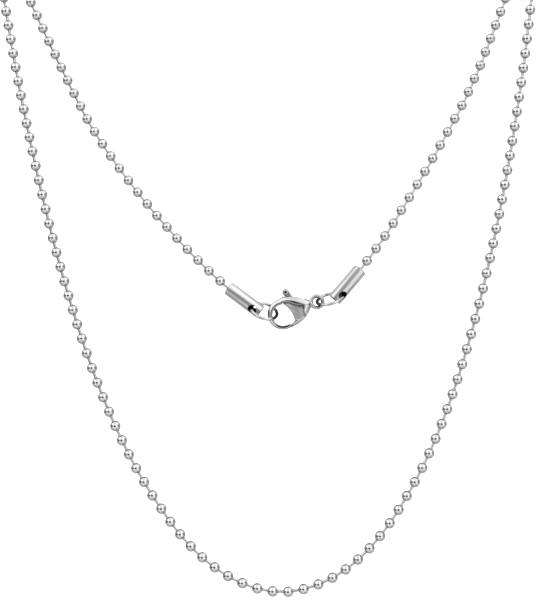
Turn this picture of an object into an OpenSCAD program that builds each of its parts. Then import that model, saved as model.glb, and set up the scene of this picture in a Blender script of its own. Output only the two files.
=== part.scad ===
// Ball chain necklace with a lever clasp, shown hanging over a straight rest.
// Origin: middle of the rest, on its axis. X runs along the rest, Z is up, the viewer is at -Y.

/* [Chain] */
// Outer diameter of one ball
ball_d = 2.4; // [2.2:0.05:2.8]
// Thickness of a ball's shell
ball_wall = 0.25; // [0.2:0.01:0.28]
// Mean distance from one ball's centre to the next
ball_pitch = 3.39; // [3.3:0.01:3.9]
// Thickness of the link wire between two balls
link_d = 0.6; // [0.45:0.05:0.65]
// Diameter of the head on each end of a link
head_d = 1; // [0.95:0.01:1.02]
// Thickness of a link's head
head_l = 0.36; // [0.3:0.02:0.4]

/* [Hanging loop] */
// Thickness of the rest that the loop hangs over
rest_d = 8; // [6:0.5:12]
// Distance between the two places where the loop goes over the rest
span = 123.6; // [110:0.5:135]
// Radius of the long front strand at its lowest point
front_bend = 22.7; // [21:0.1:26]
// Radius that the left back strand would have at its lowest point
left_bend = 53.7; // [46:0.5:65]
// Radius that the right back strand would have at its lowest point
right_bend = 56.2; // [48:0.5:68]
// Depth of the clasp's hook below the rest
clasp_drop = 90.2; // [84:0.5:96]
// Distance of the clasp's hook from the middle, to the right
clasp_shift = 1.4; // [-4:0.2:6]
// Rise of the clasp from its hook to its eye, in degrees
clasp_tilt = 19.9; // [10:0.5:30]

/* [End tubes] */
// Outer diameter of an end tube
tube_d = 3.2; // [3.1:0.05:3.4]
// Length of an end tube
tube_l = 9.2; // [7:0.1:12]
// Thickness of an end tube's wall
tube_wall = 0.3; // [0.2:0.01:0.32]
// Thickness of the closed end
tube_cap = 0.5; // [0.4:0.02:0.55]
// How far the closed end bulges
cap_rise = 0.15; // [0.1:0.05:0.5]
// Diameter of the cross holes for the jump ring
cross_d = 2.3; // [2.2:0.02:2.5]
// Distance of the cross holes from the open mouth
cross_inset = 1.85; // [1.5:0.05:2.6]
// Free wire between the last ball and the tube
end_gap = 1.2; // [1.05:0.05:1.5]
// Slope of the left tube below level, in degrees
left_tube_slope = 38.4; // [34:0.2:43]
// Slope of the right tube below level, in degrees
right_tube_slope = 48; // [44:0.2:52]
// Turn of the left tube's cross holes about its own length, in degrees
left_tube_turn = 30; // [26:1:34]
// Turn of the right tube's cross holes about its own length, in degrees
right_tube_turn = -40; // [-44:1:-37]

/* [Jump rings] */
// Outer diameter of a jump ring
ring_d = 6.75; // [6.65:0.05:7.1]
// Thickness of a jump ring's wire
ring_wire = 0.75; // [0.6:0.01:0.78]
// Play of the left ring inside the hook
left_ring_play = 0.6; // [0.5:0.02:0.7]
// Direction in which the left ring pulls on the hook, in degrees from +X
left_ring_pull = 180; // [170:1:190]
// Slope of the left ring's long axis, in degrees
left_ring_slope = -20; // [-22:0.5:-18]
// Lean of the left ring out of the upright, in degrees
left_ring_lean = 53; // [51:0.5:55]
// Play of the right ring inside the eye
right_ring_play = 0.31; // [0.28:0.01:0.34]
// Direction in which the right ring lies in the eye, in degrees from +X
right_ring_pull = -71; // [-76:1:-66]
// Slope of the right ring's long axis, in degrees
right_ring_slope = 15.2; // [14.6:0.1:15.8]
// Lean of the right ring out of the upright, in degrees
right_ring_lean = 64.5; // [64:0.1:65.5]

/* [Clasp body] */
// Diameter of the hook's round opening
hook_hole_d = 4.9; // [4.7:0.05:5]
// Outer diameter of the hook
hook_d = 7; // [6.8:0.05:7.2]
// Shift of the hook's outer edge towards its back, so the tip is thinner
hook_rise = 0.2; // [0.1:0.02:0.3]
// Thickness of the hook from front to back
hook_t = 1.5; // [1.3:0.05:1.7]
// Radius of the rounding on the hook's edges
hook_round = 0.4; // [0.2:0.02:0.41]
// Radius of the body's back, seen from the front
back_r = 7.93; // [7.6:0.05:8.4]
// Radius of the body's belly, seen from the front
belly_r = 6.9; // [6.7:0.05:7.2]
// Distance of the belly's lowest point behind the hook's centre
belly_shift = 1.1; // [0.8:0.05:1.3]
// Greatest thickness of the body from front to back
body_t = 2.9; // [2.7:0.05:3.2]
// Radius of the domed front and back
dome_r = 15; // [13:0.5:18]
// Distance from the hook's centre to the eye's centre
eye_reach = 8.26; // [8.15:0.02:8.5]
// Outer diameter of the eye
eye_d = 3.5; // [3.3:0.05:3.7]
// Diameter of the eye's hole
eye_hole_d = 1.8; // [1.76:0.02:1.9]
// Thickness of the eye from front to back
eye_t = 1.2; // [1:0.02:1.22]

/* [Clasp lever] */
// Distance of the lever's pivot behind the hook's centre
pivot_x = 5.65; // [5.55:0.02:5.7]
// Height of the pivot above the clasp's middle line
pivot_z = -0.1; // [-0.2:0.02:0]
// Diameter of the pivot pin
pin_d = 0.7; // [0.5:0.02:0.74]
// Outer diameter of the lever's hub
hub_d = 1.36; // [1.3:0.02:1.4]
// Thickness of the lever between the cheeks
lever_t = 1.2; // [1:0.05:1.3]
// Thickness of the gate's lower rim
rim_t = 2; // [1.6:0.05:2.2]
// Radius of the brushed recess above the gate's rim
recess_r = 2.25; // [2:0.05:2.3]
// Radius of the gate's inner edge
gate_edge_r = 5.74; // [5.4:0.05:6.2]
// Place of the gate's inner edge behind the hook's centre, halfway up
gate_x = 2.1; // [1.95:0.01:2.2]
// Diameter of the thumb tab's knob
knob_d = 1.5; // [1.2:0.02:1.6]
// Width of the thumb tab's knob from front to back
knob_t = 1.7; // [1.3:0.05:2.4]
// Height of the knob above the clasp's middle line
knob_z = 4.67; // [4.5:0.02:5.2]
// Distance of the knob behind the hook's centre
knob_x = 2.4; // [2.4:0.02:2.6]

/* [Clearances] */
// Gap round a link where it goes into a ball
ball_fit = 0.12; // [0.1:0.01:0.14]
// Gap round a link where it goes into a tube
tube_fit = 0.12; // [0.1:0.01:0.14]
// Gap between a head's edge and the inside of its ball
head_fit = 0.14; // [0.1:0.01:0.16]
// Gap on each side of the lever between the cheeks
lever_fit = 0.1; // [0.06:0.01:0.14]
// Gap between the gate's tip and the hook's tip
tip_gap = 0.16; // [0.1:0.02:0.3]
// Gap round the pin in the cheeks
pin_fit = 0.03; // [0.02:0.01:0.05]
// Gap round the pin in the lever's hub
hub_fit = 0.05; // [0.03:0.01:0.08]

/* [Hidden] */

steel = "silver";
bright = "gainsboro";
brushed = "darkgray";

// How far the chain lies above a true hanging curve, in ball diameters.
// Columns: share of the strand's length, front strand from the left, left and right strands from the rest.
chain_sway = [
    [0.0, 0.00, 0.00, 0.00],
    [0.1, -0.08, 0.08, 0.00],
    [0.2, -0.02, 0.18, 0.02],
    [0.3, 0.06, 0.12, -0.02],
    [0.4, 0.17, 0.00, -0.14],
    [0.5, -0.31, -0.19, -0.13],
    [0.6, 0.19, -0.12, 0.02],
    [0.7, 0.14, 0.02, 0.11],
    [0.8, 0.00, 0.10, 0.15],
    [0.9, -0.10, 0.08, 0.04],
    [1.0, 0.00, 0.00, 0.00]];
FRONT = 1;
LEFT = 2;
RIGHT = 3;
samples = 120;

// How far the balls have slid along the chain from even steps, in steps.
// Columns: share of the way from the first ball to the last, counted from the left tube; slide.
chain_slide = [
    [0.00, 0.00], [0.07, 0.33], [0.14, 0.27], [0.24, -0.43], [0.30, -0.90], [0.38, -1.12],
    [0.44, -0.93], [0.50, -0.64], [0.54, -0.60], [0.60, -0.21], [0.67, 0.12], [0.74, -0.05],
    [0.87, -0.41], [0.92, -0.47], [1.00, 0.00]];

// Places that follow from the sizes above
strand_y = rest_d / 2 + ball_d / 2;
half_span = span / 2;
ring_r = (ring_d - ring_wire) / 2;
ring_seat = sqrt(ring_r * ring_r - tube_d * tube_d / 4);
hook_pos = [clasp_shift, strand_y, -clasp_drop];
eye_pos = hook_pos + eye_reach * level(clasp_tilt);
left_ring_y = -0.2;
right_ring_y = -0.32;
left_ring_pos = hook_pos + [0, left_ring_y, 0] - ring_r * level(left_ring_slope)
    + ((hook_hole_d - ring_wire) / 2 - left_ring_play) * level(left_ring_pull);
right_ring_pos = eye_pos + [0, right_ring_y, 0] + ring_r * level(right_ring_slope)
    + ((eye_hole_d - ring_wire) / 2 - right_ring_play) * level(right_ring_pull);
left_ride = 0.1;
right_ride = 0.54;
left_cross = flat(left_ring_pos - ring_seat * level(left_ring_slope)
    + left_ride * level(left_ring_slope + 90));
right_cross = flat(right_ring_pos + ring_seat * level(right_ring_slope)
    + right_ride * level(right_ring_slope + 90));
left_tube_dir = level(180 - left_tube_slope);
right_tube_dir = level(right_tube_slope);
left_end = left_cross + (tube_l - cross_inset) * left_tube_dir;
right_end = right_cross + (tube_l - cross_inset) * right_tube_dir;
link_in_tube = ball_pitch - ball_d / 2 - end_gap;
in_ball = sqrt(pow(ball_d / 2 - ball_wall - head_fit, 2) - head_d * head_d / 4) - head_l;
in_tube = link_in_tube - tube_cap - tube_fit - head_l;

// Unit vector in the XZ plane at an angle above level
function level(a) = [cos(a), 0, sin(a)];
// The same place in the plane of the back strands
function flat(p) = [p.x, strand_y, p.z];

function sinh(x) = (exp(x) - exp(-x)) / 2;
function asinh(x) = ln(x + sqrt(x * x + 1));

// Hanging curve of bend radius a through p and q, given as [x, z]: place of its lowest point
function low_x(p, q, a) =
    (p.x + q.x) / 2 - a * asinh((q.y - p.y) / (2 * a * sinh((q.x - p.x) / (2 * a))));
function slope_at(x, x0, a) = sinh((x - x0) / a);

// Points along that curve from p to q at even steps of length, moved off it by a column of chain_sway
function strand(p, q, a, y, column, back = false) =
    let (x0 = low_x(p, q, a), s1 = slope_at(p.x, x0, a), s2 = slope_at(q.x, x0, a))
    [for (i = [0:samples])
        let (s = s1 + (s2 - s1) * i / samples,
             x = x0 + a * asinh(s),
             z = p.y + a * (sqrt(1 + s * s) - sqrt(1 + s1 * s1)),
             off = ball_d * sway(back ? 1 - i / samples : i / samples, column) / sqrt(1 + s * s))
        [x - off * s, y, z + off]];
function sway(share, column) = lookup(share, [for (row = chain_sway) [row[0], row[column]]]);

// Half-turn over the rest at x, from behind to the front, leaving each strand in its own direction
function turn(x, back_slope, front_slope) =
    let (m0 = PI * strand_y / back_slope, m1 = -PI * strand_y / front_slope)
    [for (i = [1:samples / 4 - 1])
        let (t = 4 * i / samples)
        [x + m0 * (t * t * t - 2 * t * t + t) + m1 * (t * t * t - t * t),
         strand_y * cos(180 * t), strand_y * sin(180 * t)]];
function reversed(list) = [for (i = [len(list) - 1:-1:0]) list[i]];

left_foot = [left_end.x, left_end.z];
right_foot = [right_end.x, right_end.z];
left_top = [-half_span, 0];
right_top = [half_span, 0];
left_low = low_x(left_top, left_foot, left_bend);
right_low = low_x(right_foot, right_top, right_bend);
front_low = low_x(left_top, right_top, front_bend);
left_back = strand(left_top, left_foot, left_bend, strand_y, LEFT);
right_back = strand(right_foot, right_top, right_bend, strand_y, RIGHT, true);
front = strand(left_top, right_top, front_bend, -strand_y, FRONT);
left_turn = turn(-half_span, slope_at(-half_span, left_low, left_bend),
                 slope_at(-half_span, front_low, front_bend));
right_turn = turn(half_span, slope_at(half_span, right_low, right_bend),
                  slope_at(half_span, front_low, front_bend));
left_in = link_in_tube * unit(left_back[samples] - left_back[samples - 1]);
right_in = link_in_tube * unit(right_back[0] - right_back[1]);
route = concat([left_end + left_in], reversed(left_back), left_turn, front,
               reversed(right_turn), reversed(right_back), [right_end + right_in]);
function unit(v) = v / norm(v);

// Length along the route at each of its points, and the place at any length
along = [for (i = 0, s = 0; i < len(route);
              s = s + (i < len(route) - 1 ? norm(route[i + 1] - route[i]) : 0), i = i + 1) s];
route_length = along[len(along) - 1];
tables = [for (axis = [0:2]) [for (i = [0:len(route) - 1]) [along[i], route[i][axis]]]];
function place(s) = [for (axis = [0:2]) lookup(s, tables[axis])];

links = round(route_length / ball_pitch);
function slide(i) = lookup((i - 1) / (links - 2), chain_slide);
centres = [for (i = [0:links]) place(route_length * (i + slide(i)) / links)];
middle_link = floor(links / 2);

// Turns the Z axis of its children to the direction v and moves them to p
module aim(p, v) {
    translate(p)
        rotate([0, acos(v.z / norm(v)), atan2(v.y, v.x)])
            children();
}

// Link wire from p to q with a head at each end, the heads starting at these distances from p and q
module link(p, q, from_p, from_q) {
    reach = norm(q - p);
    aim(p, q - p) {
        translate([0, 0, from_p])
            cylinder(h = reach - from_p - from_q, d = link_d, $fn = 16);
        for (z = [from_p, reach - from_q - head_l])
            translate([0, 0, z])
                cylinder(h = head_l, d = head_d, $fn = 16);
    }
}

// Hollow ball with one hole, towards the link that comes from the last centre
module ball(p, last) {
    difference() {
        translate(p)
            difference() {
                sphere(d = ball_d, $fn = 24);
                sphere(d = ball_d - 2 * ball_wall, $fn = 24);
            }
        aim(p, last - p)
            cylinder(h = ball_d, d = link_d + 2 * ball_fit, $fn = 16);
    }
}

// Stretch of chain: each ball carries the link to the next one, and the first link starts in the tube
module chain(first, last) {
    for (i = [first:last])
        union() {
            if (i > 0)
                ball(centres[i], centres[i - 1]);
            link(centres[i], centres[i + 1],
                 i > 0 ? in_ball : in_tube, i + 1 < links ? in_ball : in_tube);
        }
}

module chain_left() {
    color(steel)
        chain(0, middle_link - 1);
}

module chain_right() {
    color(steel)
        chain(middle_link, links - 1);
}

// Tube with its open mouth at the origin and its domed, closed end up
module end_tube(turned) {
    r = tube_d / 2;
    cap_r = (r * r + cap_rise * cap_rise) / (2 * cap_rise);
    difference() {
        rotate_extrude($fn = 48)
            difference() {
                union() {
                    square([r, tube_l - cap_rise]);
                    intersection() {
                        square([r, tube_l]);
                        translate([0, tube_l - cap_r])
                            circle(r = cap_r, $fn = 96);
                    }
                }
                square([r - tube_wall, tube_l - tube_cap]);
                square([link_d / 2 + tube_fit, tube_l + cap_rise]);
            }
        translate([0, 0, cross_inset])
            rotate([90, 0, -turned])
                cylinder(h = 2 * tube_d, d = cross_d, center = true, $fn = 32);
    }
}

// Puts a tube's cross holes at a place, with its closed end towards a direction
module place_tube(cross, dir, turned) {
    translate(cross - cross_inset * dir)
        rotate([0, atan2(dir.x, dir.z), 0])
            end_tube(turned);
}

module end_tube_left() {
    color(bright)
        place_tube(left_cross, left_tube_dir, left_tube_turn);
}

module end_tube_right() {
    color(bright)
        place_tube(right_cross, right_tube_dir, right_tube_turn);
}

module jump_ring(pos, slope, lean) {
    translate(pos)
        rotate([0, -slope, 0])
            rotate([90 - lean, 0, 0])
                rotate_extrude($fn = 64)
                    translate([ring_r, 0])
                        circle(d = ring_wire, $fn = 24);
}

module jump_ring_left() {
    color(bright)
        jump_ring(left_ring_pos, left_ring_slope, left_ring_lean);
}

module jump_ring_right() {
    color(bright)
        jump_ring(right_ring_pos, right_ring_slope, right_ring_lean);
}

// The clasp is drawn with its hook at the origin, its eye towards +X and its thumb tab up
module place_clasp() {
    translate(hook_pos)
        rotate([0, -clasp_tilt, 0])
            children();
}

// Flat outline in the clasp's XZ plane, given a thickness
module slab(t) {
    rotate([90, 0, 0])
        linear_extrude(t, center = true)
            children();
}

// Half outline turned about the Y axis at a place on the clasp
module turned_about(mid) {
    translate([mid.x, 0, mid.y])
        rotate([90, 0, 0])
            rotate_extrude($fn = 64)
                children();
}

// Disc of radius r with its rim rounded, as half an outline
module round_rim(r, t, e) {
    translate([0, -t / 2])
        square([r - e, t]);
    translate([0, e - t / 2])
        square([r, t - 2 * e]);
    for (z = [-1, 1])
        translate([r - e, z * (t / 2 - e)])
            circle(r = e, $fn = 32);
}

// What a hole of radius r with rounded edges takes away, as half an outline
module round_hole(r, t, e) {
    difference() {
        translate([0, -t])
            square([r + e, 2 * t]);
        translate([r, e - t / 2])
            square([2 * e, t - 2 * e]);
        for (z = [-1, 1])
            translate([r + e, z * (t / 2 - e)])
                circle(r = e, $fn = 32);
    }
}

// Places on the clasp, as [x, z] from the hook's centre
pivot = [pivot_x, pivot_z];
back_turn = 3;
belly_mid = [belly_shift, hook_rise - hook_d / 2 + belly_r];
hook_mid = [0, hook_rise];
back_mid = hook_mid + (back_r - hook_d / 2) * [sin(back_turn), -cos(back_turn)];
dome_mid = [3.2, 1];
recess_mid = [3.3, 0];
gate_mid = [gate_x - gate_edge_r, -1.14];
tip = [0.98, -2.65];
tip_top = [gate_x + 0.1, -1.95];
lever_r = norm(pivot - tip);
slot_r = 5.6;
slot_t = lever_t + 2 * lever_fit;
slot_back = pivot_x - 0.3;
eye_edge = 0.3;
eye_sink = 0.15;
cheek_top = [pivot_x - 0.6, 0.55];
cheek_foot = [pivot_x - 1.2, -2.4];
spine_edge = [[0.2, 2.75], [1.4, 2.55], [2.3, 2.15], [3.15, 1.4], [3.8, 1], cheek_top];
gate_gap = 0.12;
gate_head = cheek_top + [-1.4, 0.1];
tab_front = [0.95, 2.6];
tab_back = [3.55, 3.1];
tab_step = 3.75;
tab_flare = 0.2;
knob_edge = 0.3;

module disc(mid, r) {
    translate(mid)
        circle(r = r, $fn = 180);
}

// Outline of the body: the top of the hook, then the overlap of the back's disc and the belly's disc
module body_outline() {
    intersection() {
        disc(hook_mid, hook_d / 2);
        translate([-2, 0])
            square([4, hook_d]);
    }
    intersection() {
        disc(back_mid, back_r);
        disc(belly_mid, belly_r);
        translate([-hook_d / 2 * sin(back_turn), -hook_d])
            square(2 * hook_d);
    }
}

// The open front of the clasp, where the gate shows
module gate_window() {
    polygon(concat(spine_edge, [cheek_foot, [cheek_foot.x, -hook_d], [-hook_d, -hook_d],
                                [-hook_d, spine_edge[0].y]]));
}

// Sphere that gives one side its dome
module dome(side) {
    translate([dome_mid.x, side * (dome_r - body_t / 2), dome_mid.y])
        sphere(r = dome_r, $fn = 120);
}

module clasp_body() {
    color(bright)
        place_clasp()
            difference() {
                union() {
                    hook();
                    intersection() {
                        slab(body_t)
                            difference() {
                                body_outline();
                                gate_window();
                                disc([0, 0], hook_hole_d / 2 + hook_round / 2);
                                disc([eye_reach, 0], eye_d / 2 - eye_sink);
                            }
                        dome(1);
                        dome(-1);
                    }
                    neck();
                }
                slab(slot_t)
                    lever_slot();
                pin_hole(pin_d + 2 * pin_fit);
                turned_about([eye_reach, 0])
                    round_hole(eye_hole_d / 2, eye_t, eye_edge);
            }
}

module pin_hole(d) {
    turned_about(pivot)
        translate([0, -body_t])
            square([d / 2, 2 * body_t]);
}

module hook() {
    difference() {
        turned_about(hook_mid)
            round_rim(hook_d / 2, hook_t, hook_round);
        turned_about([0, 0])
            round_hole(hook_hole_d / 2, hook_t, hook_round);
        slab(2 * hook_t)
            intersection() {
                disc(pivot, lever_r + tip_gap);
                gate_window();
            }
    }
}

// Eye and the neck that carries it
module neck() {
    turned_about([eye_reach, 0])
        round_rim(eye_d / 2, eye_t, eye_edge);
    slab(0.8 * eye_t)
        translate([pivot_x, -eye_d / 6])
            square([eye_reach - eye_hole_d / 2 - eye_edge - pivot_x, eye_d / 3]);
}

// Room for the lever between the cheeks, open along the body's back
module lever_slot() {
    intersection() {
        disc(pivot, slot_r);
        translate([0, pivot_z])
            square([pivot_x + 0.2, 2 * hook_d]);
    }
    disc(pivot, hub_d / 2 + lever_fit);
    translate([gate_x, -hook_d])
        square([slot_back - gate_x, hook_d]);
}

// The gate's rim and face, as far as they show in the window
module gate_outline() {
    intersection() {
        disc(belly_mid, belly_r);
        disc(pivot, lever_r);
        difference() {
            polygon([tab_front, gate_head, cheek_top - [gate_gap, 2 * gate_gap],
                     [cheek_foot.x - gate_gap, cheek_foot.y], [cheek_foot.x - gate_gap, -hook_d],
                     [0, -hook_d], tip, tip_top, [0, tip_top.y]]);
            difference() {
                disc(gate_mid, gate_edge_r);
                translate([-hook_d, tip_top.y - hook_d])
                    square([2 * hook_d, hook_d]);
            }
        }
    }
}

// Hub, the gate's root between the cheeks, and the arm up to the thumb tab
module arm_outline() {
    disc(pivot, hub_d / 2);
    intersection() {
        disc(belly_mid, belly_r);
        polygon([pivot + [0, hub_d / 2], gate_head, [gate_head.x, -hook_d],
                 [slot_back - lever_fit, -hook_d], [slot_back - lever_fit, pivot_z]]);
    }
    intersection() {
        disc(pivot, slot_r - lever_fit);
        polygon([tab_front, [knob_x - knob_d / 2, tab_step], [knob_x - knob_d / 2, knob_z],
                 [knob_x + knob_d / 2 + tab_flare, tab_step], tab_back, gate_head, [gate_x, 1]]);
    }
    polygon([[knob_x - knob_d / 2, tab_step], [knob_x - knob_d / 2, knob_z],
             [knob_x + knob_d / 2, knob_z], [knob_x + knob_d / 2 + tab_flare, tab_step]]);
}

module clasp_lever() {
    color(brushed)
        place_clasp()
            difference() {
                union() {
                    slab(lever_t) {
                        gate_outline();
                        arm_outline();
                    }
                    slab(rim_t)
                        difference() {
                            gate_outline();
                            disc(recess_mid, recess_r);
                            translate([0, recess_mid.y - 1])
                                square(hook_d);
                        }
                    turned_about([knob_x, knob_z])
                        round_rim(knob_d / 2, knob_t, knob_edge);
                }
                pin_hole(pin_d + 2 * hub_fit);
            }
}

module clasp_pin() {
    color(steel)
        place_clasp()
            intersection() {
                pin_hole(pin_d);
                dome(1);
                dome(-1);
            }
}

chain_left();
chain_right();
end_tube_left();
end_tube_right();
jump_ring_left();
jump_ring_right();
clasp_body();
clasp_lever();
clasp_pin();
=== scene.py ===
"""Ball chain necklace: a closed loop of polished steel ball chain with its lever clasp, hung over a rest.

Lengths are worked out in millimetres, in the frame's own axes, and scaled to metres when a mesh is made.
"""
import math
import bpy
import numpy as np
from mathutils import Matrix, Vector


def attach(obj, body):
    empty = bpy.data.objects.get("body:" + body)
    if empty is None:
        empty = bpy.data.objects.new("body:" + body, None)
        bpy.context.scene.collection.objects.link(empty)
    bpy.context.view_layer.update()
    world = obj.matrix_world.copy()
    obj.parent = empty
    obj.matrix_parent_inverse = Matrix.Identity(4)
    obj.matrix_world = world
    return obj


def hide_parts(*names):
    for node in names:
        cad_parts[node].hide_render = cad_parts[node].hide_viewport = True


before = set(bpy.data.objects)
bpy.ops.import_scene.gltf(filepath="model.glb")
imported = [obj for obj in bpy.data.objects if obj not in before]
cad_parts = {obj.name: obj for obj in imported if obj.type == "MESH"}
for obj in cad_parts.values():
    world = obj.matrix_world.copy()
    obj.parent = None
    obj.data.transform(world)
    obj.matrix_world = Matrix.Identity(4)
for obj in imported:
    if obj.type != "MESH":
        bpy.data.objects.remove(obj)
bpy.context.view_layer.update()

# Ball chain
# Hollow balls rolled from stainless strip and polished by tumbling, with a short wire link, headed at each
# end, between every two. It hangs as one closed loop over a rest, the long strand in front.
BALL_R = 1.2
BALL_RINGS = 8
BALL_SIDES = 14
HOLE_R = 0.4
LIP_DEPTH = 0.2
LIP_SHARE = 0.92
LINK_R = 0.36
LINK_WAIST = 0.94
LINK_SIDES = 8
LINK_IN_BALL = 0.25
LINK_AT_END = 0.05
LINK_IN_TUBE = 0.99
LINKS = 168
MIDDLE_LINK = 84
STRAND_Y = 5.2
LEFT_TOP = (-61.8, 0.0)
RIGHT_TOP = (61.8, 0.0)
LEFT_TUBE_END = (-11.0047, -83.6466)
RIGHT_TUBE_END = (19.3573, -80.1566)
FRONT_BEND = 22.7
LEFT_BEND = 53.7
RIGHT_BEND = 56.2
SAMPLES = 120
# Directions that no stretch of the chain has, to find the sides of straight-on balls and of links
BALL_ASIDE = (0.3, 1, 0.2)
LINK_ASIDE = (0.31, 0.9, 0.3)
# How far each strand lies off its hanging curve, in ball widths, at these shares of its length
SWAY_SHARE = np.arange(11) / 10
FRONT_SWAY = (0, -0.08, -0.02, 0.06, 0.17, -0.31, 0.19, 0.14, 0, -0.1, 0)
LEFT_SWAY = (0, 0.08, 0.18, 0.12, 0, -0.19, -0.12, 0.02, 0.1, 0.08, 0)
RIGHT_SWAY = (0, 0, 0.02, -0.02, -0.14, -0.13, 0.02, 0.11, 0.15, 0.04, 0)
# How far the balls have slid along the chain, in steps from ball to ball, at these shares of its length
SLIDE_SHARE = (0, 0.07, 0.14, 0.24, 0.3, 0.38, 0.44, 0.5, 0.54, 0.6, 0.67, 0.74, 0.87, 0.92, 1)
SLIDE = (0, 0.33, 0.27, -0.43, -0.9, -1.12, -0.93, -0.64, -0.6, -0.21, 0.12, -0.05, -0.41, -0.47, 0)


def lowest_x(p, q, a):
    """Where a hanging curve of bend radius a through p and q is lowest: midway between them, less a times
    the inverse hyperbolic sine of their height difference over twice a times the sinh of half their
    distance across over a."""
    half = (q[0] - p[0]) / (2 * a)
    return (p[0] + q[0]) / 2 - a * np.arcsinh((q[1] - p[1]) / (2 * a * np.sinh(half)))


def strand(p, q, a, y, sway, back=False):
    """Points at even steps of length on the hanging curve z = a cosh(x / a) from p to q, each moved off the
    curve at right angles by the sway read at its share of the length."""
    x0 = lowest_x(p, q, a)
    first, last = np.sinh((np.array([p[0], q[0]]) - x0) / a)
    share = np.linspace(0, 1, SAMPLES + 1)
    slope = first + (last - first) * share
    steep = np.sqrt(1 + slope ** 2)
    x = x0 + a * np.arcsinh(slope)
    z = p[1] + a * (steep - math.sqrt(1 + first ** 2))
    off = 2 * BALL_R * np.interp(1 - share if back else share, SWAY_SHARE, sway) / steep
    return np.stack([x - off * slope, np.full_like(x, y), z + off], axis=1)


def turn(x, back_slope, front_slope):
    """Half-turn over the rest: y and z go round a half circle, and x follows the cubic curve that leaves
    each strand in its own direction."""
    t = np.arange(1, SAMPLES // 4) * 4 / SAMPLES
    leave = math.pi * STRAND_Y / back_slope
    arrive = -math.pi * STRAND_Y / front_slope
    side = x + leave * (t ** 3 - 2 * t ** 2 + t) + arrive * (t ** 3 - t ** 2)
    return np.stack([side, STRAND_Y * np.cos(math.pi * t), STRAND_Y * np.sin(math.pi * t)], axis=1)


def slope_of(x, p, q, a):
    """Steepness of the hanging curve through p and q at x: the sinh of the way from its lowest point
    over a."""
    return math.sinh((x - lowest_x(p, q, a)) / a)


def unit(v):
    """Vectors scaled to length one along the last axis."""
    return v / np.linalg.norm(v, axis=-1, keepdims=True)


def chain_centres():
    """Ball centres: the strands and turns joined into one line, cut into steps of length that are equal but
    for the slide, which is read at each ball's share of the way from the first to the last."""
    front = strand(LEFT_TOP, RIGHT_TOP, FRONT_BEND, -STRAND_Y, FRONT_SWAY)
    left = strand(LEFT_TOP, LEFT_TUBE_END, LEFT_BEND, STRAND_Y, LEFT_SWAY)
    right = strand(RIGHT_TUBE_END, RIGHT_TOP, RIGHT_BEND, STRAND_Y, RIGHT_SWAY, back=True)
    left_turn = turn(LEFT_TOP[0], slope_of(LEFT_TOP[0], LEFT_TOP, LEFT_TUBE_END, LEFT_BEND),
                     slope_of(LEFT_TOP[0], LEFT_TOP, RIGHT_TOP, FRONT_BEND))
    right_turn = turn(RIGHT_TOP[0], slope_of(RIGHT_TOP[0], RIGHT_TUBE_END, RIGHT_TOP, RIGHT_BEND),
                      slope_of(RIGHT_TOP[0], LEFT_TOP, RIGHT_TOP, FRONT_BEND))
    start = left[-1] + LINK_IN_TUBE * unit(left[-1] - left[-2])
    end = right[0] + LINK_IN_TUBE * unit(right[0] - right[1])
    line = np.concatenate([[start], left[::-1], left_turn, front, right_turn[::-1], right[::-1], [end]])
    length = np.concatenate([[0], np.cumsum(np.linalg.norm(np.diff(line, axis=0), axis=1))])
    number = np.arange(LINKS + 1)
    slide = np.interp((number - 1) / (LINKS - 2), SLIDE_SHARE, SLIDE)
    steps = length[-1] / LINKS * (number + slide)
    return np.stack([np.interp(steps, length, line[:, k]) for k in range(3)], axis=1)


def grid_faces(copies, rows, cols):
    """Four-sided faces of closed rings: row by row, each ring joined to the next, with the columns
    wrapped."""
    i, j = np.meshgrid(np.arange(rows - 1), np.arange(cols), indexing="ij")
    k = (j + 1) % cols
    one = np.stack([i * cols + j, i * cols + k, (i + 1) * cols + k, (i + 1) * cols + j], axis=-1)
    return (one.reshape(-1, 4)[None] + (np.arange(copies) * rows * cols)[:, None, None]).reshape(-1, 4)


def mesh_object(name, points, faces, **attributes):
    """Object with its place in its mesh: points in millimetres, faces as rows of point numbers, and one
    named value per point for each attribute."""
    mesh = bpy.data.meshes.new(name)
    mesh.vertices.add(len(points))
    mesh.vertices.foreach_set("co", (np.asarray(points) * 0.001).ravel())
    mesh.loops.add(faces.size)
    mesh.loops.foreach_set("vertex_index", faces.ravel())
    mesh.polygons.add(len(faces))
    mesh.polygons.foreach_set("loop_start", np.arange(len(faces)) * faces.shape[1])
    mesh.polygons.foreach_set("use_smooth", np.full(len(faces), True))
    for key, value in attributes.items():
        mesh.attributes.new(key, "FLOAT", "POINT").data.foreach_set("value", np.ravel(value))
    mesh.update(calc_edges=True)
    mesh.validate()
    obj = bpy.data.objects.new(name, mesh)
    bpy.context.scene.collection.objects.link(obj)
    return obj


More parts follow.
